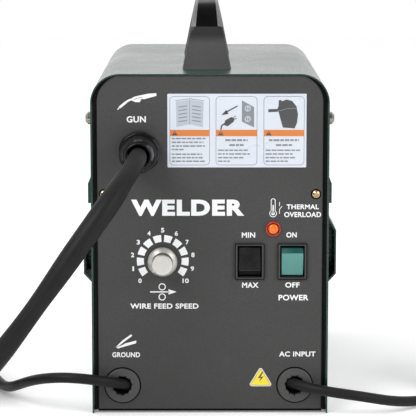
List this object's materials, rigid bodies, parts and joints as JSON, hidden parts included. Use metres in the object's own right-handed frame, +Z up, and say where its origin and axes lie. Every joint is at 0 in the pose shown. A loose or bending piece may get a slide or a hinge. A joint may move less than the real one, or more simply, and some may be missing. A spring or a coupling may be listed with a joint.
{
  "type": "mig welding machine",
  "caption": "Portable wire-feed welding machine: folded cabinet with lift-up side door, carrying handle, front controls, gun cable and torch, ground clamp and mains cord.",
  "frame": {"origin": "centre of the cabinet base, on the floor", "axes": "+Z up, -Y towards the front panel, +X to the right seen from the front"},
  "size_m": [0.748, 0.4971, 0.352],
  "materials": {
    "green_paint": "textured dark green paint",
    "panel_paint": "textured charcoal paint",
    "black_steel": "black paint",
    "zinc_steel": "zinc plated",
    "chrome_screws": "polished",
    "brass_screws": "yellow passivated",
    "handle_plastic": "fine textured",
    "black_plastic": "moulded",
    "knob_metal": "satin",
    "rocker_green": "translucent",
    "lamp_red": "moulded",
    "lamp_amber": "translucent",
    "cable_rubber": "matte sheath",
    "plug_plastic": "moulded",
    "torch_brass": "turned",
    "torch_copper": "copper",
    "clamp_steel": "zinc plated stamping",
    "core_steel": "laminated",
    "winding_copper": "enamelled copper",
    "bare_aluminium": "mill finish",
    "board_green": "solder mask",
    "terminal_plastic": "moulded",
    "motor_black": "black paint",
    "roller_steel": "ground",
    "nut_plastic": "moulded"
  },
  "bodies": {
    "cabinet": {"cabinet_cover": "green_paint", "base_pan": "black_steel", "front_panel": "panel_paint", "rear_panel": "panel_paint", "divider": "zinc_steel", "cover_screws": "chrome_screws", "panel_screws": "brass_screws", "handle": "handle_plastic", "handle_screws": "zinc_steel", "hinge_leaf": "zinc_steel", "hinge_pin": "zinc_steel", "potentiometer": "black_plastic", "current_switch": "black_plastic", "power_switch": "black_plastic", "lamp_bezel": "lamp_red", "lamp_lens": "lamp_amber", "gun_gland": "black_plastic", "gun_nut": "black_plastic", "gun_cable": "cable_rubber", "gun_coil": "cable_rubber", "torch_handle": "black_plastic", "torch_neck": "torch_brass", "torch_nozzle": "torch_copper", "ground_grommet": "cable_rubber", "ground_cable": "cable_rubber", "ground_coil": "cable_rubber", "clamp_base": "clamp_steel", "clamp_contact": "torch_copper", "clamp_spring": "clamp_steel", "power_grommet": "cable_rubber", "power_cord": "cable_rubber", "power_coil": "cable_rubber", "power_plug": "plug_plastic", "plug_blades": "zinc_steel", "transformer_core": "core_steel", "transformer_windings": "winding_copper", "rectifier": "bare_aluminium", "control_board": "board_green", "terminal_block": "terminal_plastic", "fan_frame": "black_plastic", "feed_plate": "bare_aluminium", "feed_motor": "motor_black", "wire_guides": "zinc_steel", "spool_shaft": "zinc_steel", "spool_nut": "nut_plastic"},
    "side_door": {"side_door": "green_paint"},
    "door_latch": {"door_latch": "black_plastic"},
    "speed_knob": {"speed_knob": "knob_metal", "knob_shaft": "zinc_steel"},
    "current_rocker": {"current_rocker": "black_plastic"},
    "power_rocker": {"power_rocker": "rocker_green"},
    "torch_trigger": {"torch_trigger": "black_plastic"},
    "clamp_jaw": {"clamp_jaw": "clamp_steel"},
    "fan_rotor": {"fan_rotor": "black_plastic"},
    "drive_roll": {"drive_roll": "torch_brass"},
    "pressure_arm": {"pressure_arm": "bare_aluminium"},
    "pressure_roll": {"pressure_roll": "roller_steel"},
    "tension_knob": {"tension_knob": "black_plastic"},
    "wire_spool": {"wire_spool": "black_plastic", "spool_wire": "roller_steel"}
  },
  "joints": [
    {"name": "side_door_hinge", "type": "hinge", "parent": "cabinet", "child": "side_door", "pos_m": [-0.1021, 0, 0.249], "axis": [0, 1, 0], "range_deg": [0, 100]},
    {"name": "door_latch_turn", "type": "hinge", "parent": "side_door", "child": "door_latch", "pos_m": [-0.1015, 0.006, 0.074], "axis": [-1, 0, 0], "range_deg": [0, 90]},
    {"name": "speed_knob_turn", "type": "hinge", "parent": "cabinet", "child": "speed_knob", "pos_m": [-0.0406, -0.18, 0.133], "axis": [0, 1, 0], "range_deg": [0, 264]},
    {"name": "current_rocker_tilt", "type": "hinge", "parent": "cabinet", "child": "current_rocker", "pos_m": [0.034, -0.1695, 0.1333], "axis": [1, 0, 0], "range_deg": [0, 24]},
    {"name": "power_rocker_tilt", "type": "hinge", "parent": "cabinet", "child": "power_rocker", "pos_m": [0.0705, -0.1695, 0.1333], "axis": [-1, 0, 0], "range_deg": [0, 24]},
    {"name": "trigger_pivot", "type": "hinge", "parent": "cabinet", "child": "torch_trigger", "pos_m": [-0.414, 0.076, 0.0155], "axis": [0, 0, -1], "range_deg": [0, 7], "stiffness_Nm_per_rad": 0.6},
    {"name": "clamp_pivot", "type": "hinge", "parent": "cabinet", "child": "clamp_jaw", "pos_m": [-0.344, 0.11, 0.011], "axis": [0, 0, -1], "range_deg": [0, 18], "stiffness_Nm_per_rad": 1.2},
    {"name": "fan_spin", "type": "hinge", "parent": "cabinet", "child": "fan_rotor", "pos_m": [0, 0.15, 0.15], "axis": [0, 1, 0], "continuous": true},
    {"name": "drive_roll_spin", "type": "hinge", "parent": "cabinet", "child": "drive_roll", "pos_m": [0, -0.118, 0.196], "axis": [1, 0, 0], "continuous": true},
    {"name": "pressure_arm_lift", "type": "hinge", "parent": "cabinet", "child": "pressure_arm", "pos_m": [0, -0.092, 0.218], "axis": [-1, 0, 0], "range_deg": [0, 60]},
    {"name": "pressure_roll_spin", "type": "hinge", "parent": "pressure_arm", "child": "pressure_roll", "pos_m": [0, -0.118, 0.219], "axis": [1, 0, 0], "continuous": true},
    {"name": "tension_knob_turn", "type": "hinge", "parent": "pressure_arm", "child": "tension_knob", "pos_m": [-0.004, -0.139, 0.23], "axis": [0, 0, 1], "range_deg": [-180, 180]},
    {"name": "spool_spin", "type": "hinge", "parent": "cabinet", "child": "wire_spool", "pos_m": [-0.05, 0.048, 0.15], "axis": [1, 0, 0], "continuous": true}
  ]
}
